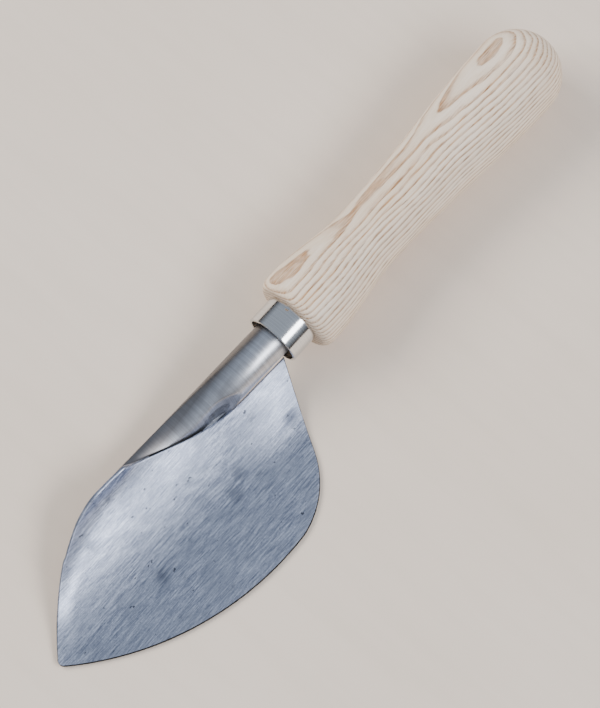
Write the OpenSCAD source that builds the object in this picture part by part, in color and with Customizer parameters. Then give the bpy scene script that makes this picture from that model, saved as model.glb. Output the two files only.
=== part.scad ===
// Hand scoop: a leaf-shaped blade with one curled side is welded onto a steel tube.
// The tube is pressed flat under the blade, and is round where it enters the ferrule
// and the turned ash handle.
// The tool lies on a table: the flat of the blade and the bulb of the handle touch z = 0.
// +X runs from the tip to the end of the handle, +Y is the curled side of the blade.

/* [Blade] */
// Thickness of the steel sheet
sheet_t = 1.5; // [1:0.1:2.2]
// Length of the blade, from the ferrule to the tip
blade_l = 135.6; // [125:0.1:145]
// Distance from the tool's axis to the long edge of the blade
wing_w = 55.3; // [48:0.1:60]
// Distance from the tool's axis to the tip, toward the long edge
tip_offset = 23.3; // [18:0.1:28]
// Radius of the long edge
long_edge_r = 120; // [115:1:150]
// Radius of the edge on the curled side
curl_edge_r = 113; // [105:1:130]
// How far the curled side's outline would stand off the axis without the curl
curl_edge_y = 16; // [14:0.5:18]
// Radius of the blade's rear corner
corner_r = 36; // [25:1:40]
// Lean of the rear edge, measured from square to the axis
rear_lean = 28.2; // [20:0.2:35]
// Gap between the ferrule and the root of the rear edge
root_gap = 1; // [0.5:0.1:4]
// Rounding of the tip
tip_r = 2.5; // [1:0.1:5]
// Angle at which the blade is set off the handle's axis
blade_set = 1.5; // [0:0.1:3]

/* [Dish and curl] */
// Diameter of the curled side, across the outside of the sheet
curl_d = 14.3; // [13:0.1:15]
// Slope of the dish where the flat starts to tighten
dish_slope = 27; // [22:1:30]
// Slope of the dish where it turns into the curl
curl_slope = 44; // [40:1:50]
// Radius of the dish beside the curl
dish_r = 32; // [28:1:36]
// Distance from the axis to the free edge beside the ferrule, toward the long edge
free_edge_y = 5.8; // [4:0.1:8]
// Distance from the ferrule at which the free edge begins to cross the tube
cross_start = 20; // [10:1:30]
// Distance from the ferrule at which the free edge has reached the curled side
cross_end = 84; // [76:1:90]
// Distance from the ferrule at which the curled wall begins to drop
wall_start = 72.5; // [65:0.5:80]
// Slope at which the curled wall drops toward the tip
wall_slope = 20.2; // [16:0.2:24]

/* [Shank] */
// Outside diameter of the tube
tube_d = 14.3; // [13:0.1:15]
// Wall thickness of the tube
tube_t = 1.5; // [1:0.1:2]
// Distance from the blade's axis to the tube's axis, toward the curled side
tube_offset = 0.5; // [0:0.1:1]
// Distance from the ferrule at which the tube begins to flatten
press_start = 8; // [4:1:15]
// Distance from the ferrule at which the tube is fully pressed
press_end = 58; // [50:1:64]
// Distance from the ferrule to the tube's front end
tube_front = 72; // [66:1:76]
// Width of the pressed tube
press_w = 16.4; // [13:0.2:17]
// Thickness of the pressed tube
press_t = 4.8; // [4:0.1:6]
// Slope of the pressed tube, which lies against the underside of the dish
press_slope = 34; // [31:0.5:37]
// Length of tube inside the handle
shank_in = 50; // [30:1:70]

/* [Ferrule] */
// Outside diameter of the ferrule
ferrule_d = 21.4; // [20.6:0.1:24]
// Length of the ferrule
ferrule_l = 11.3; // [9:0.1:16]
// Wall thickness of the ferrule
ferrule_t = 1; // [0.8:0.1:1.2]
// Distance from the ferrule's front rim to the end of the wooden tenon
tenon_setback = 4.5; // [2:0.1:6]
// Number of punch marks that stake the ferrule to the tenon
stakes = 3; // [2:1:6]

/* [Handle] */
// Length of the handle behind the ferrule
grip_l = 141.2; // [125:0.1:160]
// Diameter of the handle's base
base_d = 33; // [30:0.1:36]
// Diameter of the handle's waist
waist_d = 26; // [24:0.1:29]
// Diameter of the handle's bulb
bulb_d = 34.1; // [32:0.1:38]
// Distance from the base to the waist
waist_at = 42; // [35:1:55]
// Depth of the rounded shoulder at the base
shoulder = 4.2; // [2:0.1:6]

/* [Hidden] */
$fn = 96;
axis_z = bulb_d / 2;
handle_x = ferrule_l;
handle_end = handle_x + grip_l;
margin = 5;

// Mid-sheet radii and arc centres of the blade's section, as (y, z) pairs
curl_r = (curl_d - sheet_t) / 2;
curl_axis = [0, axis_z];
dish_c = curl_axis + (dish_r - curl_r) * [-sin(curl_slope), cos(curl_slope)];
sweep_r = (dish_c[1] - dish_r * cos(dish_slope) - sheet_t / 2) / (1 - cos(dish_slope));
sweep_c = dish_c + (sweep_r - dish_r) * [-sin(dish_slope), cos(dish_slope)];
bend_step = 6;

// Arc centres of the blade's outline, as (x, y) pairs
tip = [-blade_l, -tip_offset];
long_cy = long_edge_r - wing_w;
long_c = [tip[0] + sqrt(pow(long_edge_r, 2) - pow(tip[1] - long_cy, 2)), long_cy];
curl_cy = curl_edge_y - curl_edge_r;
curl_c = [tip[0] + sqrt(pow(curl_edge_r, 2) - pow(tip[1] - curl_cy, 2)), curl_cy];
rear_x = curl_d / 2 * tan(rear_lean) - root_gap;
corner_cy = corner_r - wing_w;
corner_c = [rear_x + corner_cy * tan(rear_lean) - corner_r / cos(rear_lean), corner_cy];
tip_out = ((tip - long_c) / long_edge_r + (tip - curl_c) / curl_edge_r) / 2;
tip_c = tip - tip_r * tip_out / (tip_out * tip_out);

// Centres of the tube's section where it is round and where it is pressed
tube_r = tube_d / 2;
tube_axis = [tube_offset, axis_z];
press_c = dish_c + (dish_r + (sheet_t + press_t) / 2) * [sin(press_slope), -cos(press_slope)];

// Middle of the footprint, which is the origin
tip_x = tip[0] * cos(blade_set) + tip[1] * sin(blade_set);
wing_y = long_c[1] * cos(blade_set) - long_c[0] * sin(blade_set) - long_edge_r;
middle = [(tip_x + handle_end) / 2, (wing_y + bulb_d / 2) / 2];

// A smooth S from a to b as t runs from 0 to 1
function blend(a, b, t) = a + (b - a) * (1 - cos(180 * t)) / 2;

// Points on an arc, with angles counted from straight down toward +Y
function bend(c, r, from, to) =
    let (n = ceil(abs(to - from) / bend_step))
    [for (i = [0:n]) let (a = from + (to - from) * i / n) c + r * [sin(a), -cos(a)]];

// One face of the sheet from the flat to the top of the curl, off its middle by d
function dish_side(d) = concat(
    bend(sweep_c, sweep_r + d, 0, dish_slope),
    bend(dish_c, dish_r + d, dish_slope + 1, curl_slope),
    bend(curl_axis, curl_r + d, curl_slope + bend_step, 90)
);

// How far the free edge has crossed to the curled side at a distance x along the axis
function free_edge(x) =
    let (t = (-x - cross_start) / (cross_end - cross_start))
    blend(-free_edge_y, curl_d / 2 + 1, min(1, max(0, t)));

function backward(v) = [for (i = [len(v) - 1:-1:0]) v[i]];

module dish_section() {
    edge = -wing_w - margin;
    half = sheet_t / 2;
    polygon(concat(
        [[edge, 0]],
        dish_side(half),
        backward(dish_side(-half)),
        [[edge, sheet_t]]
    ));
}

// Turns a section into a length of sheet along -X and trims it to a plan
module sheet() {
    length = blade_l + margin;
    intersection() {
        translate([-length, 0, 0])
            rotate([90, 0, 90])
                linear_extrude(height = length)
                    children(0);
        translate([0, 0, -margin])
            linear_extrude(height = 3 * axis_z)
                children(1);
    }
}

module outline() {
    side = 12;
    tip_cut = tip_c[0] - tip_r * abs(tip_out[0]) / norm(tip_out) * sin(45);
    rear_tangent = corner_c + corner_r * [cos(rear_lean), -sin(rear_lean)];
    difference() {
        intersection() {
            translate(long_c)
                circle(long_edge_r);
            union() {
                translate(curl_c)
                    circle(curl_edge_r);
                translate([-cross_end, 0])
                    square([cross_end, side]);
            }
            union() {
                translate(corner_c)
                    circle(corner_r);
                polygon([
                    [-root_gap, side],
                    [-root_gap, -curl_d / 2],
                    rear_tangent,
                    corner_c,
                    [corner_c[0], -wing_w - margin],
                    [-blade_l - margin, -wing_w - margin],
                    [-blade_l - margin, side]
                ]);
            }
        }
        translate([tip_cut - 2 * margin, tip[1] - margin])
            square([2 * margin, 2 * margin]);
        beside_edge();
    }
    translate(tip_c)
        circle(tip_r);
}

// Everything past the free edge, which crosses the tube in a smooth S
module beside_edge() {
    steps = 20;
    side = 24;
    edge = [for (i = [0:steps])
        let (x = -cross_end + (cross_end - cross_start) * i / steps)
        [x, free_edge(x)]];
    polygon(concat([[-cross_end, side]], edge, [[margin, -free_edge_y], [margin, side]]));
}

// The space above the slope at which the curled wall drops toward the tip
module above_wall() {
    rise = 60;
    wall_z = axis_z + curl_r * cos(45);
    translate([-wall_start, 0, wall_z])
        rotate([0, -wall_slope, 0])
            translate([-blade_l, 0, 0])
                cube([blade_l, curl_d, rise]);
}

// How far the tube is flattened, from 0 where it is round to 1 where it is pressed
function pressed(x) = blend(0, 1, min(1, max(0, (-x - press_start) / (press_end - press_start))));

// Points round the tube's section at x, inside its outer face by d
function tube_ring(x, d, sides) =
    let (
        f = pressed(x),
        c = tube_axis + (press_c - tube_axis) * f,
        a = tube_r + (press_w / 2 - tube_r) * f - d,
        b = tube_r + (press_t / 2 - tube_r) * f - d
    )
    [for (i = [0:sides - 1])
        let (p = a * cos(360 * i / sides), q = b * sin(360 * i / sides))
        [
            x,
            c[0] + p * cos(press_slope) - q * sin(press_slope),
            c[1] + p * sin(press_slope) + q * cos(press_slope)
        ]];

// The tube from its round part to its pressed front end
module pressed_tube() {
    sides = 36;
    steps = 13;
    skin = 0.03;
    lap = 2;
    from = lap - press_start;
    rings = [for (k = [0:steps]) from - (from + tube_front) * k / steps];
    inside = (steps + 1) * sides;
    function at(k, i) = k * sides + i % sides;
    polyhedron(
        points = concat(
            [for (x = rings) each tube_ring(x, skin, sides)],
            [for (x = rings) each tube_ring(x, tube_t - skin, sides)]
        ),
        faces = concat(
            [for (k = [0:steps - 1]) for (i = [0:sides - 1]) each [
                [at(k, i), at(k, i + 1), at(k + 1, i + 1)],
                [at(k, i), at(k + 1, i + 1), at(k + 1, i)],
                [inside + at(k + 1, i + 1), inside + at(k, i + 1), inside + at(k, i)],
                [inside + at(k + 1, i), inside + at(k + 1, i + 1), inside + at(k, i)]
            ]],
            [for (i = [0:sides - 1]) each [
                [at(0, i + 1), at(0, i), inside + at(0, i)],
                [at(0, i + 1), inside + at(0, i), inside + at(0, i + 1)],
                [at(steps, i), at(steps, i + 1), inside + at(steps, i + 1)],
                [at(steps, i), inside + at(steps, i + 1), inside + at(steps, i)]
            ]]
        )
    );
}

module round_tube() {
    length = press_start + ferrule_l + shank_in;
    translate([-press_start, tube_offset, axis_z])
        rotate([0, 90, 0])
            difference() {
                cylinder(d = tube_d, h = length);
                translate([0, 0, -1])
                    cylinder(d = tube_d - 2 * tube_t, h = length + 2);
            }
}

// The space from the blade's underside upward, over the blade's plan
module over_leaf() {
    edge = -wing_w - margin;
    top = 2.4 * axis_z;
    sheet() {
        polygon(concat(
            [[edge, 0]],
            dish_side(sheet_t / 2),
            [[curl_d / 2, top], [edge, top]]
        ));
        outline();
    }
}

module leaf() {
    difference() {
        sheet() {
            dish_section();
            outline();
        }
        above_wall();
    }
}

// Puts a piece drawn along the blade's axis where it sits on the handle
module set_off_axis() {
    translate([-middle[0], -middle[1], 0])
        rotate([0, 0, -blade_set])
            children();
}

module blade() {
    color([0.6, 0.62, 0.66])
        set_off_axis()
            leaf();
}

module shank() {
    color([0.62, 0.6, 0.57])
        set_off_axis() {
            round_tube();
            difference() {
                pressed_tube();
                over_leaf();
            }
        }
}

module ferrule() {
    rim = 0.3;
    punch_r = 1.1;
    punch_depth = 0.5;
    punch_x = ferrule_l - 1.6;
    punch_from = -115;
    color([0.78, 0.79, 0.8])
        translate([-middle[0], -middle[1], axis_z])
            rotate([0, 90, 0])
                difference() {
                    rotate_extrude()
                        polygon([
                            [ferrule_d / 2 - ferrule_t, 0],
                            [ferrule_d / 2 - rim, 0],
                            [ferrule_d / 2, rim],
                            [ferrule_d / 2, ferrule_l - rim],
                            [ferrule_d / 2 - rim, ferrule_l],
                            [ferrule_d / 2 - ferrule_t, ferrule_l]
                        ]);
                    for (i = [0:stakes - 1])
                        rotate([0, 0, punch_from - 90 + i * 360 / stakes])
                            translate([ferrule_d / 2 + punch_r - punch_depth, 0, punch_x])
                                sphere(r = punch_r, $fn = 24);
                }
}

module handle() {
    face_d = 27;
    neck_steps = 9;
    swell_steps = 13;
    tenon_r = ferrule_d / 2 - ferrule_t;
    neck_from = shoulder + 1.5;
    bulb_at = grip_l - bulb_d / 2;
    swell_to = bulb_at - 1;
    shoulder_arc = [for (i = [0:5])
        let (a = 90 * i / 5)
        [face_d / 2 + (base_d - face_d) / 2 * sin(a), shoulder * (1 - cos(a))]];
    neck = [for (i = [0:neck_steps])
        let (t = i / neck_steps)
        [blend(base_d, waist_d, t) / 2, neck_from + (waist_at - neck_from) * t]];
    swell = [for (i = [1:swell_steps])
        let (t = i / swell_steps)
        [blend(waist_d, bulb_d, t) / 2, waist_at + (swell_to - waist_at) * t]];
    color([0.87, 0.76, 0.6])
        translate([-middle[0], -middle[1], axis_z])
            difference() {
                rotate([0, 90, 0]) {
                    translate([0, 0, tenon_setback])
                        cylinder(r = tenon_r, h = ferrule_l);
                    translate([0, 0, handle_x])
                        rotate_extrude()
                            polygon(concat(
                                [[0, 0]],
                                shoulder_arc,
                                neck,
                                swell,
                                [[bulb_d / 2, bulb_at], [0, bulb_at]]
                            ));
                    translate([0, 0, handle_x + bulb_at])
                        sphere(r = bulb_d / 2);
                }
                rotate([0, 0, -blade_set])
                    translate([0, tube_offset, 0])
                        rotate([0, 90, 0])
                            cylinder(d = tube_d, h = ferrule_l + shank_in);
            }
}

blade();
shank();
ferrule();
handle();
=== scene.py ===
"""Looks for the hand scoop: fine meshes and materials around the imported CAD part."""

import math

import bpy
import numpy as np
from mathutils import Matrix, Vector


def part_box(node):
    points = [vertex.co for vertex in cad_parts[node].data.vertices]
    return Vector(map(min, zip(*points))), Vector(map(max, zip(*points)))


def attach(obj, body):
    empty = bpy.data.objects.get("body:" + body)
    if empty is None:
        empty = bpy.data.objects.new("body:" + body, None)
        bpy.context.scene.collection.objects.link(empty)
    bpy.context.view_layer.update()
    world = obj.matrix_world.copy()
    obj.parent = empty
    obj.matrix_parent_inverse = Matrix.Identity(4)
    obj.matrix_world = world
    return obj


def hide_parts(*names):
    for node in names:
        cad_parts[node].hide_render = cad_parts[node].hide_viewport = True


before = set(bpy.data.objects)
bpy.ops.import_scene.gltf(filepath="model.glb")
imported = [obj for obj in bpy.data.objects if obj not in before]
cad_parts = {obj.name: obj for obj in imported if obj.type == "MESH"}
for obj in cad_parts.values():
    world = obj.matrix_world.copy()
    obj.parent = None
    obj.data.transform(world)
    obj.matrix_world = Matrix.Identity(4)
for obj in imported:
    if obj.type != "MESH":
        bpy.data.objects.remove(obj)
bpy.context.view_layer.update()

# ---------------------------------------------------------------- sizes, in metres
MM = 0.001
ferrule_lo, ferrule_hi = (Vector(c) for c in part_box("ferrule"))
handle_lo, handle_hi = (Vector(c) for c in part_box("handle"))

RIM_X = ferrule_lo.x
AXIS_Y = (ferrule_lo.y + ferrule_hi.y) / 2
AXIS_Z = (ferrule_lo.z + ferrule_hi.z) / 2
FERRULE_R = (ferrule_hi.y - ferrule_lo.y) / 2
FERRULE_L = ferrule_hi.x - ferrule_lo.x
FERRULE_T = 1.0 * MM
TENON_SETBACK = handle_lo.x - RIM_X
GRIP_L = handle_hi.x - ferrule_hi.x
BULB_R = (handle_hi.z - handle_lo.z) / 2
BASE_R = 16.5 * MM
WAIST_R = 13.0 * MM
WAIST_AT = 42 * MM
SHOULDER = 4.2 * MM
FACE_R = 13.5 * MM
BLADE_SET = math.radians(1.5)

SHEET_T = 1.5 * MM
BLADE_L = 135.6 * MM
WING_W = 55.3 * MM
TIP_OFFSET = 23.3 * MM
LONG_EDGE_R = 120 * MM
CURL_EDGE_R = 113 * MM
CURL_EDGE_Y = 16 * MM
CORNER_R = 36 * MM
REAR_LEAN = math.radians(28.2)
ROOT_GAP = 1 * MM
TIP_R = 2.5 * MM
CURL_R = 6.4 * MM
CURL_OUT = 7.15 * MM
DISH_R = 32 * MM
DISH_SLOPE = math.radians(27)
CURL_SLOPE = math.radians(44)
FREE_EDGE_Y = 5.8 * MM
CROSS_START = 20 * MM
CROSS_END = 84 * MM
WALL_START = 72.5 * MM
WALL_SLOPE = math.radians(20.2)
EDGE_MARGIN = 0.02 * MM
RIM_IN = 0.45 * MM
# Reach of the painted edge shadow inward from the left edge
EDGE_SHADE_REACH = 0.42 * MM
TIP_FINE = 6 * MM
SOFT_FROM, SOFT_TO = -125 * MM, -60 * MM
# Stretch of the left edge where the painted edge shadow is left off
UNSHADED_FROM, UNSHADED_TO = -97 * MM, -60 * MM

# The rear corner's rise to the tube and the curled lip's rise, with where they begin and how far they take
ROOT_LIFT = 4.2 * MM
ROOT_LIFT_X, ROOT_LIFT_RUN_X = -48 * MM, 32 * MM
ROOT_LIFT_Y, ROOT_LIFT_RUN_Y = -33 * MM, 28 * MM
CURL_LIFT = 2.2 * MM
CURL_LIFT_FROM, CURL_LIFT_RUN = -130 * MM, 22 * MM
CURL_LIFT_TO, CURL_LIFT_FADE = -80 * MM, 16 * MM
CURL_LIFT_DEPTH = 8 * MM

TUBE_R = 7.15 * MM
TUBE_T = 1.5 * MM
TUBE_OFFSET = 0.5 * MM
PRESS_START = 8 * MM
PRESS_END = 58 * MM
TUBE_FRONT = 72 * MM
PRESS_W = 16.4 * MM
PRESS_T = 4.8 * MM
PRESS_SLOPE = math.radians(34)
SHANK_IN = 50 * MM
TUBE_RIM = 0.25 * MM
UNDER_GAP = 0.05 * MM
CREASE_STEEP = 3.0
CREASE_START = 10 * MM
CREASE_END = 34 * MM
CREASE_CLEAR = 24 * MM


def blend(a, b, t):
    """A smooth S from a to b as t runs from 0 to 1."""
    t = np.clip(t, 0, 1)
    return a + (b - a) * (1 - np.cos(np.pi * t)) / 2


def set_off_axis(points):
    """Blade coordinates, from the ferrule's front rim, to the shared frame."""
    p = np.asarray(points, float)
    c, s = math.cos(BLADE_SET), math.sin(BLADE_SET)
    x = p[..., 0] * c + p[..., 1] * s + RIM_X
    y = p[..., 1] * c - p[..., 0] * s + AXIS_Y
    return np.stack([x, y, p[..., 2]], -1)


# ---------------------------------------------------------------- mesh helpers
SMOOTH_ANGLE = math.radians(40)
WELD_GAP = 1e-6


def loft(name, loops, caps=True, joined=False):
    """A closed skin over a row of closed loops; joined also ties the last loop to the first."""
    loops = np.asarray(loops, float)
    rows, cols = loops.shape[:2]
    faces = []
    for i in range(rows if joined else rows - 1):
        k = (i + 1) % rows
        for j in range(cols):
            n = (j + 1) % cols
            faces.append((i * cols + j, k * cols + j, k * cols + n, i * cols + n))
    if caps and not joined:
        faces.append(tuple(range(cols)))
        faces.append(tuple((rows - 1) * cols + j for j in reversed(range(cols))))
    mesh = bpy.data.meshes.new(name)
    mesh.from_pydata([tuple(p) for p in loops.reshape(-1, 3)], [], faces)
    mesh.validate()
    obj = bpy.data.objects.new(name, mesh)
    bpy.context.collection.objects.link(obj)
    tidy_normals(obj)
    return obj


def tidy_normals(obj):
    """Turns the normals outward and shades smooth up to SMOOTH_ANGLE."""
    bpy.ops.object.select_all(action="DESELECT")
    obj.select_set(True)
    bpy.context.view_layer.objects.active = obj
    bpy.ops.object.mode_set(mode="EDIT")
    bpy.ops.mesh.select_all(action="SELECT")
    bpy.ops.mesh.remove_doubles(threshold=WELD_GAP)
    bpy.ops.mesh.normals_make_consistent(inside=False)
    bpy.ops.object.mode_set(mode="OBJECT")
    bpy.ops.object.shade_smooth_by_angle(angle=SMOOTH_ANGLE)


def lathe(profile, sides, dent=None):
    """Turns (x, r) points about the handle's axis; dent(x, angle, r) is taken off the radius."""
    loops = []
    for x, r in profile:
        loop = []
        for k in range(sides):
            a = 2 * math.pi * k / sides
            rr = max(r - (dent(x, a, r) if dent else 0), WELD_GAP)
            loop.append((RIM_X + x, AXIS_Y + rr * math.cos(a), AXIS_Z + rr * math.sin(a)))
        loops.append(loop)
    return loops


# ---------------------------------------------------------------- blade
# The section is a flat, a wide sweep, the dish and the curl; S1, S2 and S3 end the last three
dish_c = np.array([0, AXIS_Z]) + (DISH_R - CURL_R) * np.array([-math.sin(CURL_SLOPE), math.cos(CURL_SLOPE)])
SWEEP_R = (dish_c[1] - DISH_R * math.cos(DISH_SLOPE) - SHEET_T / 2) / (1 - math.cos(DISH_SLOPE))
sweep_c = dish_c + (SWEEP_R - DISH_R) * np.array([-math.sin(DISH_SLOPE), math.cos(DISH_SLOPE)])
S1 = SWEEP_R * DISH_SLOPE
S2 = S1 + DISH_R * (CURL_SLOPE - DISH_SLOPE)
S3 = S2 + CURL_R * (math.pi / 2 - CURL_SLOPE)


def section(s):
    """Mid-sheet y, z and slope at arc length s, counted from where the flat begins to sweep up."""
    s = np.asarray(s, float)
    slope = np.where(s < 0, 0, np.where(s < S1, s / SWEEP_R, np.where(
        s < S2, DISH_SLOPE + (s - S1) / DISH_R, CURL_SLOPE + (s - S2) / CURL_R)))
    cy = np.where(s < S1, sweep_c[0], np.where(s < S2, dish_c[0], 0.0))
    cz = np.where(s < S1, sweep_c[1], np.where(s < S2, dish_c[1], AXIS_Z))
    r = np.where(s < S1, SWEEP_R, np.where(s < S2, DISH_R, CURL_R))
    y = np.where(s < 0, sweep_c[0] + s, cy + r * np.sin(slope))
    z = np.where(s < 0, SHEET_T / 2, cz - r * np.cos(slope))
    return y, z, slope


s_table = np.linspace(-30 * MM, S3, 4000)
y_table, z_table, _ = section(s_table)

# Arcs of the outline, and where they touch
tip = np.array([-BLADE_L, -TIP_OFFSET])
long_cy = LONG_EDGE_R - WING_W
long_c = np.array([tip[0] + math.sqrt(LONG_EDGE_R**2 - (tip[1] - long_cy) ** 2), long_cy])
curl_cy = CURL_EDGE_Y - CURL_EDGE_R
curl_c = np.array([tip[0] + math.sqrt(CURL_EDGE_R**2 - (tip[1] - curl_cy) ** 2), curl_cy])
rear_x = CURL_OUT * math.tan(REAR_LEAN) - ROOT_GAP
corner_cy = CORNER_R - WING_W
corner_c = np.array([rear_x + corner_cy * math.tan(REAR_LEAN) - CORNER_R / math.cos(REAR_LEAN), corner_cy])
tip_out = ((tip - long_c) / LONG_EDGE_R + (tip - curl_c) / CURL_EDGE_R) / 2
tip_c = tip - TIP_R * tip_out / (tip_out @ tip_out)
long_tangent = long_c + (tip_c - long_c) / np.linalg.norm(tip_c - long_c) * LONG_EDGE_R
curl_tangent = curl_c + (tip_c - curl_c) / np.linalg.norm(tip_c - curl_c) * CURL_EDGE_R
rear_tangent_x = corner_c[0] + CORNER_R * math.cos(REAR_LEAN)


def root(v):
    """Square root, with 0 for anything below 0."""
    return np.sqrt(np.maximum(v, 0))


def right_edge(x):
    """y of the long edge, the rear corner and the rear edge."""
    y = long_c[1] - root(LONG_EDGE_R**2 - (x - long_c[0]) ** 2)
    corner = corner_c[1] - root(CORNER_R**2 - (x - corner_c[0]) ** 2)
    rear = (x - rear_x) / math.tan(REAR_LEAN)
    y = np.where(x > corner_c[0], np.maximum(y, np.where(x > rear_tangent_x, rear, corner)), y)
    near_tip = tip_c[1] - root(TIP_R**2 - (x - tip_c[0]) ** 2)
    return np.where(x < long_tangent[0], near_tip, y)


def left_edge(x):
    """Arc length at which the curled side's edge or the free edge cuts the section."""
    outline = curl_c[1] + root(CURL_EDGE_R**2 - (x - curl_c[0]) ** 2)
    near_tip = tip_c[1] + root(TIP_R**2 - (x - tip_c[0]) ** 2)
    y = np.where(x < curl_tangent[0], near_tip, outline)
    t = (-x - CROSS_START) / (CROSS_END - CROSS_START)
    y = np.where(x > -CROSS_END, blend(-FREE_EDGE_Y, CURL_OUT + MM, t), y)
    top = AXIS_Z + CURL_R * math.cos(math.pi / 4) + (x + WALL_START) * math.tan(WALL_SLOPE)
    s = np.interp(y, y_table, s_table)
    raised = y_table > 0
    return np.minimum(s, np.interp(top, z_table[raised], s_table[raised]))


def blade_mesh():
    """The blade's sheet with a rounded rim; a strip along its edges takes a near-black painted shadow."""
    across = 110
    rim = [math.radians(a) for a in (75, 50, 25, 0, -25, -50, -75)]
    half = SHEET_T / 2
    start = tip_c[0] - TIP_R + EDGE_MARGIN
    stop = rear_x - FREE_EDGE_Y * math.tan(REAR_LEAN) - EDGE_MARGIN
    near = start + TIP_FINE * (np.linspace(0, 1, 30) ** 2)
    stations = np.concatenate([near, np.linspace(near[-1], stop, 260)[1:]])
    hi = left_edge(stations)
    spread = np.exp(-np.linspace(-2, 2, 9) ** 2)
    soft = np.convolve(np.pad(hi, 4, mode="edge"), spread / spread.sum(), mode="valid")
    hi = np.where((stations < SOFT_TO) & (stations > SOFT_FROM), soft, hi)
    edge = right_edge(stations)
    lo = np.where(edge < y_table[0], edge - sweep_c[0], np.interp(edge, y_table, s_table))
    lo = np.minimum(lo, hi - EDGE_MARGIN)
    loops = []
    for x, a, b in zip(stations, lo, hi):
        inset = min(RIM_IN, (b - a) / 3)
        s = np.linspace(a + inset, b - inset, across)
        s_all = np.concatenate([
            s, [b - inset + inset * math.cos(q) for q in rim],
            s[::-1], [a + inset - inset * math.cos(q) for q in reversed(rim)]])
        off = np.concatenate([
            np.full(across, half), [half * math.sin(q) for q in rim],
            np.full(across, -half), [half * math.sin(q) for q in reversed(rim)]])
        y, z, slope = section(s_all)
        yy, zz = y - off * np.sin(slope), z + off * np.cos(slope)
        lift = ROOT_LIFT * blend(0, 1, (x - ROOT_LIFT_X) / ROOT_LIFT_RUN_X)
        lift = lift * blend(0, 1, (yy - ROOT_LIFT_Y) / ROOT_LIFT_RUN_Y)
        along = blend(0, 1, (x - CURL_LIFT_FROM) / CURL_LIFT_RUN)
        along = along * blend(1, 0, (x - CURL_LIFT_TO) / CURL_LIFT_FADE)
        lift = lift + CURL_LIFT * along * np.clip(1 - (b - s_all) / CURL_LIFT_DEPTH, 0, 1) ** 2
        loops.append(np.stack([np.full(len(yy), x), yy, zz + lift], 1))
    sheet = loft("blade_sheet", set_off_axis(np.array(loops)))
    sheet.data.materials.append(blade_steel())
    # The second material is painted shadow along the sheet's edges
    sheet.data.materials.append(painted_edge_shadow())
    c, s = math.cos(BLADE_SET), math.sin(BLADE_SET)
    for face in sheet.data.polygons:
        x, y = face.center.x - RIM_X, face.center.y - AXIS_Y
        x, y = x * c - y * s, y * c + x * s
        edge_y, edge_z, _ = section(float(np.interp(x, stations, hi)))
        # Faces along the right edge, and along the left edge outside the unshaded stretch, take the painted
        # edge shadow
        near_left = math.hypot(y - edge_y, (face.center.z - edge_z) / 2) < EDGE_SHADE_REACH
        unshaded = UNSHADED_FROM < x < UNSHADED_TO
        near_right = y < float(np.interp(x, stations, edge)) + RIM_IN
        face.material_index = 1 if near_right or (near_left and not unshaded) else 0
    return sheet


# ---------------------------------------------------------------- shank
def tube_loop(x, inset, sides=112):
    """One ring of the tube: round in the handle, pressed flat and clamped under the blade."""
    f = float(blend(0, 1, (-x - PRESS_START) / (PRESS_END - PRESS_START)))
    outward = np.array([math.sin(PRESS_SLOPE), -math.cos(PRESS_SLOPE)])
    press_c = dish_c + (DISH_R + (SHEET_T + PRESS_T) / 2) * outward
    c = np.array([TUBE_OFFSET, AXIS_Z]) * (1 - f) + press_c * f
    a = TUBE_R + (PRESS_W / 2 - TUBE_R) * f - inset
    b = TUBE_R + (PRESS_T / 2 - TUBE_R) * f - inset
    q = 2 * np.pi * np.arange(sides) / sides
    p, n = a * np.cos(q), b * np.sin(q)
    y = c[0] + p * math.cos(PRESS_SLOPE) - n * math.sin(PRESS_SLOPE)
    z = c[1] + p * math.sin(PRESS_SLOPE) + n * math.cos(PRESS_SLOPE)
    if x < -PRESS_START:
        edge = blend(-FREE_EDGE_Y, CURL_OUT + MM, (-x - CROSS_START) / (CROSS_END - CROSS_START))
        _, middle, slope = section(np.interp(np.minimum(y, edge), y_table, s_table))
        under = middle - SHEET_T / 2 / np.maximum(np.cos(slope), 0.5) - UNDER_GAP
        limit = under + np.maximum(y - edge, 0) * CREASE_STEEP
        faded = (-x - CREASE_START) / (CREASE_END - CREASE_START)
        limit = limit + float(blend(CREASE_CLEAR, 0, faded))
        z = np.where(n > 0, np.minimum(z, np.maximum(limit, c[1] - b)), z)
    return np.stack([np.full(sides, x), y, z], 1)


def shank_mesh():
    edge = TUBE_RIM
    back = FERRULE_L + SHANK_IN
    xs = np.concatenate([np.linspace(-TUBE_FRONT + edge, 0, 110), np.linspace(2 * MM, back - edge, 20)])
    loops = [tube_loop(x, 0) for x in xs]
    loops += [tube_loop(back, edge), tube_loop(back, TUBE_T - edge)]
    loops += [tube_loop(x, TUBE_T) for x in xs[::-1]]
    loops += [tube_loop(-TUBE_FRONT, TUBE_T - edge), tube_loop(-TUBE_FRONT, edge)]
    return loft("shank_tube", set_off_axis(np.array(loops)), joined=True)


# ---------------------------------------------------------------- ferrule
PUNCH_X = FERRULE_L - 1.3 * MM
PUNCH_R = 0.75 * MM
PUNCH_DEPTH = 0.35 * MM
PUNCH_FROM = math.radians(82)
PUNCHES = 3
PUNCH_SKIN = 0.4 * MM
FERRULE_RIM = 0.3 * MM
INNER_RIM = 0.1 * MM


def punch_marks(x, angle, r):
    """Depth of the three round punch marks, on the outside of the ring only."""
    if r < FERRULE_R - PUNCH_SKIN:
        return 0
    depth = 0
    for k in range(PUNCHES):
        turn = (angle - PUNCH_FROM - k * 2 * math.pi / PUNCHES + math.pi) % (2 * math.pi) - math.pi
        d = math.hypot(x - PUNCH_X, turn * FERRULE_R) / PUNCH_R
        depth = max(depth, PUNCH_DEPTH * (1 - d * d)) if d < 1 else depth
    return depth


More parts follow.
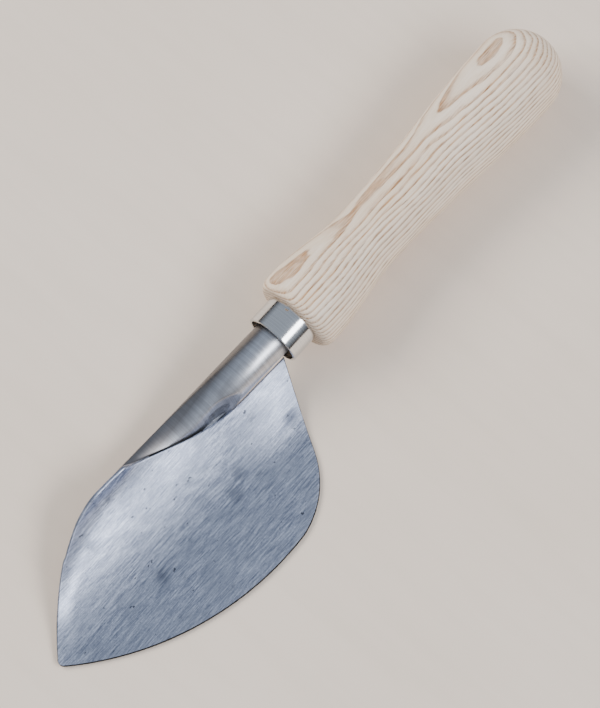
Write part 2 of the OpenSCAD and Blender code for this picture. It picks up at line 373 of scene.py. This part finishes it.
def ferrule_mesh():
    rim = FERRULE_RIM
    inner = FERRULE_R - FERRULE_T
    arc = [math.radians(a) for a in (0, 22, 45, 68, 90)]
    outside = [(rim - rim * math.cos(a), FERRULE_R - rim + rim * math.sin(a)) for a in arc]
    outside += [(rim + (FERRULE_L - 2 * rim) * i / 60, FERRULE_R) for i in range(1, 60)]
    outside += [(FERRULE_L - rim + rim * math.sin(a), FERRULE_R - rim + rim * math.cos(a)) for a in arc]
    inside = [(FERRULE_L, inner), (FERRULE_L / 2, inner), (INNER_RIM, inner), (0, inner + INNER_RIM)]
    return loft("ferrule_ring", lathe(outside + inside, 300, punch_marks), joined=True)


# ---------------------------------------------------------------- handle
BASE_FLAT = 1.5 * MM
BULB_FLAT = 1 * MM
TENON_CHAMFER = 0.4 * MM


def handle_mesh():
    """The turned handle, from the bottom of its bore round the tenon to the end of the bulb."""
    tenon_r = FERRULE_R - FERRULE_T
    bulb_at = GRIP_L - BULB_R
    neck_from = SHOULDER + BASE_FLAT
    swell_to = bulb_at - BULB_FLAT
    bore_end = FERRULE_L + SHANK_IN
    out = [(bore_end, 0), (bore_end, TUBE_R), (TENON_SETBACK, TUBE_R)]
    out += [(TENON_SETBACK, tenon_r - TENON_CHAMFER), (TENON_SETBACK + TENON_CHAMFER, tenon_r)]
    out += [(FERRULE_L, tenon_r), (FERRULE_L, FACE_R)]
    for i in range(1, 17):
        a = math.pi / 2 * i / 16
        out.append((FERRULE_L + SHOULDER * (1 - math.cos(a)), FACE_R + (BASE_R - FACE_R) * math.sin(a)))
    for i in range(41):
        t = i / 40
        out.append((FERRULE_L + neck_from + (WAIST_AT - neck_from) * t, float(blend(BASE_R, WAIST_R, t))))
    for i in range(1, 71):
        t = i / 70
        out.append((FERRULE_L + WAIST_AT + (swell_to - WAIST_AT) * t, float(blend(WAIST_R, BULB_R, t))))
    for i in range(49):
        a = math.pi / 2 * i / 48
        out.append((FERRULE_L + bulb_at + BULB_R * math.sin(a), BULB_R * math.cos(a)))
    return loft("handle_turned", lathe(out, 160), caps=False)


# ---------------------------------------------------------------- materials
class Graph:
    """A material's node tree, with short ways to add and join nodes."""

    def __init__(self, name):
        self.mat = bpy.data.materials.new(name)
        self.mat.use_nodes = True
        self.tree = self.mat.node_tree
        self.shader = self.tree.nodes["Principled BSDF"]
        self.place = self.add("ShaderNodeTexCoord").outputs["Object"]

    def add(self, kind, **inputs):
        node = self.tree.nodes.new(kind)
        for key, value in inputs.items():
            self.put(node.inputs[key.replace("_", " ")], value)
        return node

    def put(self, socket, value):
        if isinstance(value, bpy.types.NodeSocket):
            self.tree.links.new(value, socket)
        else:
            socket.default_value = value

    def math(self, how, a, b=0.0):
        node = self.tree.nodes.new("ShaderNodeMath")
        node.operation = how
        for socket, value in zip(node.inputs, (a, b)):
            self.put(socket, value)
        return node.outputs[0]

    def mapped(self, scale, turn=(0, 0, 0)):
        node = self.add("ShaderNodeMapping", Vector=self.place)
        node.inputs["Rotation"].default_value = turn
        node.inputs["Scale"].default_value = scale
        return node.outputs[0]

    def noise(self, vector, detail=3.0, rough=0.5, twist=0.0):
        return self.add("ShaderNodeTexNoise", Vector=vector, Scale=1.0, Detail=detail,
                        Roughness=rough, Distortion=twist).outputs["Fac"]

    def ramp(self, fac, *stops):
        node = self.add("ShaderNodeValToRGB", Fac=fac)
        ramp = node.color_ramp
        while len(ramp.elements) < len(stops):
            ramp.elements.new(0.5)
        for element, (at, value) in zip(ramp.elements, stops):
            element.position = at
            element.color = (value, value, value, 1) if isinstance(value, (int, float)) else (*value, 1)
        return node.outputs["Color"]

    def mix(self, fac, a, b):
        node = self.tree.nodes.new("ShaderNodeMix")
        node.data_type = "RGBA"
        for socket, value in zip((node.inputs[0], node.inputs[6], node.inputs[7]), (fac, a, b)):
            if isinstance(value, tuple) and len(value) == 3:
                value = (*value, 1)
            self.put(socket, value)
        return node.outputs[2]

    def range(self, value, a, b, c, d):
        node = self.add("ShaderNodeMapRange", Value=value)
        for key, v in (("From Min", a), ("From Max", b), ("To Min", c), ("To Max", d)):
            node.inputs[key].default_value = v
        return node.outputs[0]

    def bump(self, height, depth):
        return self.add("ShaderNodeBump", Height=height, Strength=1.0, Distance=depth).outputs[0]

    def wobble(self, value, noise, reach):
        """Shifts a value by a noise about its middle, times a reach."""
        shift = self.math("MULTIPLY", self.math("SUBTRACT", noise, 0.5), reach)
        return self.math("ADD", value, shift)

    def axis(self, name, vector):
        split = self.add("ShaderNodeSeparateXYZ", Vector=vector)
        return split.outputs[name]

    def finish(self, color, rough, metallic, normal=None):
        self.put(self.shader.inputs["Base Color"], color)
        self.put(self.shader.inputs["Roughness"], rough)
        self.shader.inputs["Metallic"].default_value = metallic
        if normal is not None:
            self.put(self.shader.inputs["Normal"], normal)
        return self.mat


# Dark smudges on the blade's face, the last one a painted shade on the inside of the curled wall near its
# edge: middle in the shared frame, and reach
SMUDGES_AND_WALL_SHADE = (
    ((-0.0563, -0.0062, 0.0030), 4.2 * MM),
    ((-0.0505, -0.0030, 0.0040), 3.6 * MM),
    ((-0.0963, -0.0076, 0.0030), 3.8 * MM),
    ((-0.0225, -0.0040, 0.0040), 4.5 * MM),
    # Painted shade, not a smudge: darkens the curled wall's inside where it turns steep
    ((-0.1065, 0.0160, 0.0100), 5.0 * MM),
)


def blade_steel():
    """Brushed sheet with cloudy patches, smudges, painted shade on the curled wall and small pits."""
    g = Graph("blade_steel")
    brushed = (0, 0, math.radians(-9.4))
    fine = g.noise(g.mapped((210, 3400, 210), brushed), detail=3, rough=0.6)
    coarse = g.noise(g.mapped((120, 1150, 120), (0, 0, math.radians(-12))), detail=3, rough=0.6)
    speckle = g.noise(g.mapped((1300, 1900, 1300), brushed), detail=2, rough=0.6)
    cloud = g.noise(g.mapped((55, 80, 55), brushed), detail=5, rough=0.65, twist=0.4)
    spots = g.noise(g.mapped((330, 480, 330), brushed), detail=2)
    stain = g.noise(g.mapped((75, 150, 75), (0, 0, math.radians(25))), detail=5, rough=0.65)
    tone = g.math("ADD", g.math("MULTIPLY", fine, 0.5), g.math("MULTIPLY", coarse, 0.28))
    tone = g.math("ADD", tone, g.math("MULTIPLY", speckle, 0.22))
    dark, middle, light = (0.22, 0.245, 0.33), (0.43, 0.47, 0.59), (0.70, 0.75, 0.88)
    color = g.ramp(tone, (0.40, dark), (0.5, middle), (0.60, light))
    color = g.mix(g.range(cloud, 0.38, 0.66, 0.0, 0.55), color, (0.30, 0.335, 0.42))
    color = g.mix(g.range(stain, 0.62, 0.72, 0.0, 0.6), color, (0.13, 0.145, 0.19))
    for spot, reach in SMUDGES_AND_WALL_SHADE:
        away = g.add("ShaderNodeVectorMath", Vector=g.place)
        away.operation = "DISTANCE"
        away.inputs[1].default_value = spot
        near = g.wobble(away.outputs["Value"], stain, reach * 2.2)
        near = g.wobble(near, coarse, reach * 1.2)
        color = g.mix(g.range(near, 0.0, reach, 0.75, 0.0), color, (0.10, 0.115, 0.16))
    color = g.mix(g.range(spots, 0.715, 0.745, 0.0, 0.8), color, (0.05, 0.055, 0.07))
    rough = g.math("ADD", g.range(tone, 0.35, 0.65, 0.42, 0.52), g.range(cloud, 0.3, 0.7, -0.04, 0.07))
    height = g.math("SUBTRACT", tone, g.range(spots, 0.70, 0.75, 0.0, 1.0))
    return g.finish(color, rough, 1.0, g.bump(height, 0.000022))


def painted_edge_shadow():
    """Painted shadow along the sheet's edges: near-black metal for the shaded edge side and the contact
    shadow below it.
    """
    g = Graph("painted_edge_shadow")
    grit = g.noise(g.mapped((900, 900, 900)), detail=3)
    color = g.ramp(grit, (0.35, (0.02, 0.02, 0.022)), (0.7, (0.06, 0.06, 0.065)))
    return g.finish(color, g.range(grit, 0.3, 0.7, 0.45, 0.6), 1.0, g.bump(grit, 0.00003))


def shank_steel():
    """Ground tube with fine rings, and painted shade along its far side."""
    g = Graph("shank_steel")
    rings = g.noise(g.mapped((2600, 60, 60)), detail=4, rough=0.65)
    bands = g.noise(g.mapped((1300, 25, 25)), detail=3)
    cloud = g.noise(g.mapped((40, 120, 120)), detail=4, rough=0.6)
    tone = g.math("ADD", g.math("MULTIPLY", rings, 0.6), g.math("MULTIPLY", bands, 0.4))
    dark, middle, light = (0.54, 0.55, 0.585), (0.64, 0.66, 0.71), (0.75, 0.78, 0.84)
    color = g.ramp(tone, (0.34, dark), (0.5, middle), (0.66, light))
    color = g.mix(g.range(cloud, 0.42, 0.7, 0.0, 0.45), color, (0.24, 0.215, 0.20))
    # Painted shade: the tube's far side is tinted dark by its position, in place of the shade and dark
    # reflection that side gets
    side = g.axis("Y", g.place)
    far_side_shade = g.range(side, AXIS_Y + TUBE_R * 0.25, AXIS_Y + TUBE_R * 0.8, 0.0, 0.75)
    color = g.mix(far_side_shade, color, (0.16, 0.14, 0.13))
    rough = g.range(tone, 0.3, 0.7, 0.34, 0.43)
    return g.finish(color, rough, 1.0, g.bump(tone, 0.000004))


def polished_steel():
    """Polished ring with faint turning lines."""
    g = Graph("polished_steel")
    turned = g.noise(g.mapped((3800, 12, 12)), detail=3)
    cloud = g.noise(g.mapped((120, 120, 120)), detail=3)
    color = g.ramp(turned, (0.3, (0.66, 0.66, 0.66)), (0.7, (0.80, 0.80, 0.79)))
    rough = g.math("ADD", g.range(turned, 0.3, 0.7, 0.10, 0.15), g.range(cloud, 0.4, 0.7, 0.0, 0.04))
    return g.finish(color, rough, 1.0, g.bump(turned, 0.0000004))


def ash():
    """Ash with growth rings cut lengthwise, open pores and pale fibres."""
    g = Graph("ash")
    pitch = 1.7 * MM
    tilt = math.radians(-50)
    sway_reach, ripple_reach = 6.2 * MM, 0.9 * MM
    sway = g.noise(g.mapped((16, 45, 45)), detail=2)
    ripple = g.noise(g.mapped((70, 160, 160)), detail=2)
    depth = g.axis("Y", g.mapped((1, 1, 1), (tilt, 0, math.radians(0.6))))
    depth = g.wobble(g.wobble(depth, sway, sway_reach), ripple, ripple_reach)
    ring = g.math("FRACT", g.math("DIVIDE", depth, pitch))
    wide = g.noise(g.mapped((3, 260, 260), (tilt, 0, 0)), detail=1)
    line = g.ramp(ring, (0.0, 0.1), (0.05, 1.0), (0.22, 0.8), (0.42, 0.22), (0.8, 0.0), (1.0, 0.1))
    pores = g.noise(g.mapped((240, 1900, 1900)), detail=2, rough=0.6)
    pores = g.math("MULTIPLY", g.range(pores, 0.48, 0.62, 0.0, 1.0), line)
    fibre = g.noise(g.mapped((60, 1700, 1700)), detail=3, rough=0.6)
    patch = g.noise(g.mapped((14, 60, 60)), detail=3)
    color = g.mix(g.range(patch, 0.35, 0.7, 0.0, 1.0), (0.91, 0.76, 0.60), (0.81, 0.62, 0.44))
    color = g.mix(g.math("MULTIPLY", line, g.range(wide, 0.3, 0.7, 0.7, 1.0)), color, (0.47, 0.20, 0.04))
    color = g.mix(g.math("MULTIPLY", pores, 0.8), color, (0.24, 0.10, 0.025))
    color = g.mix(g.range(fibre, 0.35, 0.7, 0.0, 0.45), color, (0.97, 0.88, 0.78))
    rough = g.math("ADD", g.range(fibre, 0.3, 0.7, 0.44, 0.56), g.math("MULTIPLY", pores, 0.12))
    dips = g.math("ADD", pores, g.math("MULTIPLY", line, 0.4))
    height = g.math("SUBTRACT", g.math("MULTIPLY", fibre, 0.35), dips)
    return g.finish(color, rough, 0.0, g.bump(height, 0.00013))


def floor_paint():
    """Plain pale floor with a faint grain."""
    g = Graph("floor_paint")
    cloud = g.noise(g.mapped((5, 5, 5)), detail=3)
    grain = g.noise(g.mapped((120, 14, 60), (0, 0, math.radians(48))), detail=4)
    color = g.mix(g.range(cloud, 0.3, 0.7, 0.0, 1.0), (0.84, 0.72, 0.605), (0.80, 0.67, 0.55))
    color = g.mix(g.range(grain, 0.45, 0.75, 0.0, 0.12), color, (0.56, 0.47, 0.38))
    return g.finish(color, g.range(grain, 0.3, 0.7, 0.55, 0.65), 0.0)


# ---------------------------------------------------------------- pieces
for make, node, paint, slot in (
    (blade_mesh, "blade", None, "blade_steel"),
    (shank_mesh, "shank", shank_steel, "shank_steel"),
    (ferrule_mesh, "ferrule", polished_steel, "polished_steel"),
    (handle_mesh, "handle", ash, "ash"),
):
    piece = make()
    if paint:
        piece.data.materials.append(paint())
    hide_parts(node)
    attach(piece, "root")

# ---------------------------------------------------------------- stage
FLOOR = 1.6
LENS = 141.2
SENSOR = 36
SKY_STRENGTH = 0.52

corners = [(-FLOOR, -FLOOR, 0), (FLOOR, -FLOOR, 0), (FLOOR, FLOOR, 0), (-FLOOR, FLOOR, 0)]
mesh = bpy.data.meshes.new("floor")
mesh.from_pydata(corners, [], [(0, 1, 2, 3)])
floor = bpy.data.objects.new("floor", mesh)
bpy.context.collection.objects.link(floor)
floor.data.materials.append(floor_paint())

eye = Vector((-0.21355, -0.17561, 0.97020))
target = Vector((-0.00386, 0.00891, 0.010))
camera = bpy.data.objects.new("camera", bpy.data.cameras.new("camera"))
bpy.context.collection.objects.link(camera)
camera.location = eye
camera.rotation_euler = (target - eye).to_track_quat("-Z", "Y").to_euler()
camera.data.lens = LENS
camera.data.sensor_width = SENSOR
camera.data.sensor_fit = "AUTO"
bpy.context.scene.camera = camera


def softbox(name, where, size, power, tint):
    """An area light that faces the object."""
    lamp = bpy.data.lights.new(name, "AREA")
    lamp.shape = "RECTANGLE"
    lamp.size, lamp.size_y = size
    lamp.energy = power
    lamp.color = tint
    obj = bpy.data.objects.new(name, lamp)
    bpy.context.collection.objects.link(obj)
    obj.location = where
    obj.rotation_euler = (-Vector(where)).to_track_quat("-Z", "Y").to_euler()
    return obj


softbox("window", (0.42, -1.15, 1.15), (1.5, 0.55), 27, (0.96, 0.975, 1.0))
behind = softbox("back_window", (-0.5, 1.35, 1.2), (1.6, 0.9), 42, (1.0, 0.975, 0.94))
behind.visible_glossy = False

# A dome of soft light, brighter towards the top
world = bpy.data.worlds.new("studio")
bpy.context.scene.world = world
world.use_nodes = True
tree = world.node_tree
sky = tree.nodes["Background"]
ways = tree.nodes.new("ShaderNodeTexCoord")
split = tree.nodes.new("ShaderNodeSeparateXYZ")
tree.links.new(ways.outputs["Generated"], split.inputs[0])
dome = tree.nodes.new("ShaderNodeValToRGB")
tree.links.new(split.outputs["Z"], dome.inputs["Fac"])
dome.color_ramp.elements[0].position = 0.05
dome.color_ramp.elements[0].color = (0.10, 0.085, 0.075, 1)
dome.color_ramp.elements[1].position = 0.5
dome.color_ramp.elements[1].color = (0.74, 0.84, 1.0, 1)
tree.links.new(dome.outputs["Color"], sky.inputs["Color"])
sky.inputs["Strength"].default_value = SKY_STRENGTH
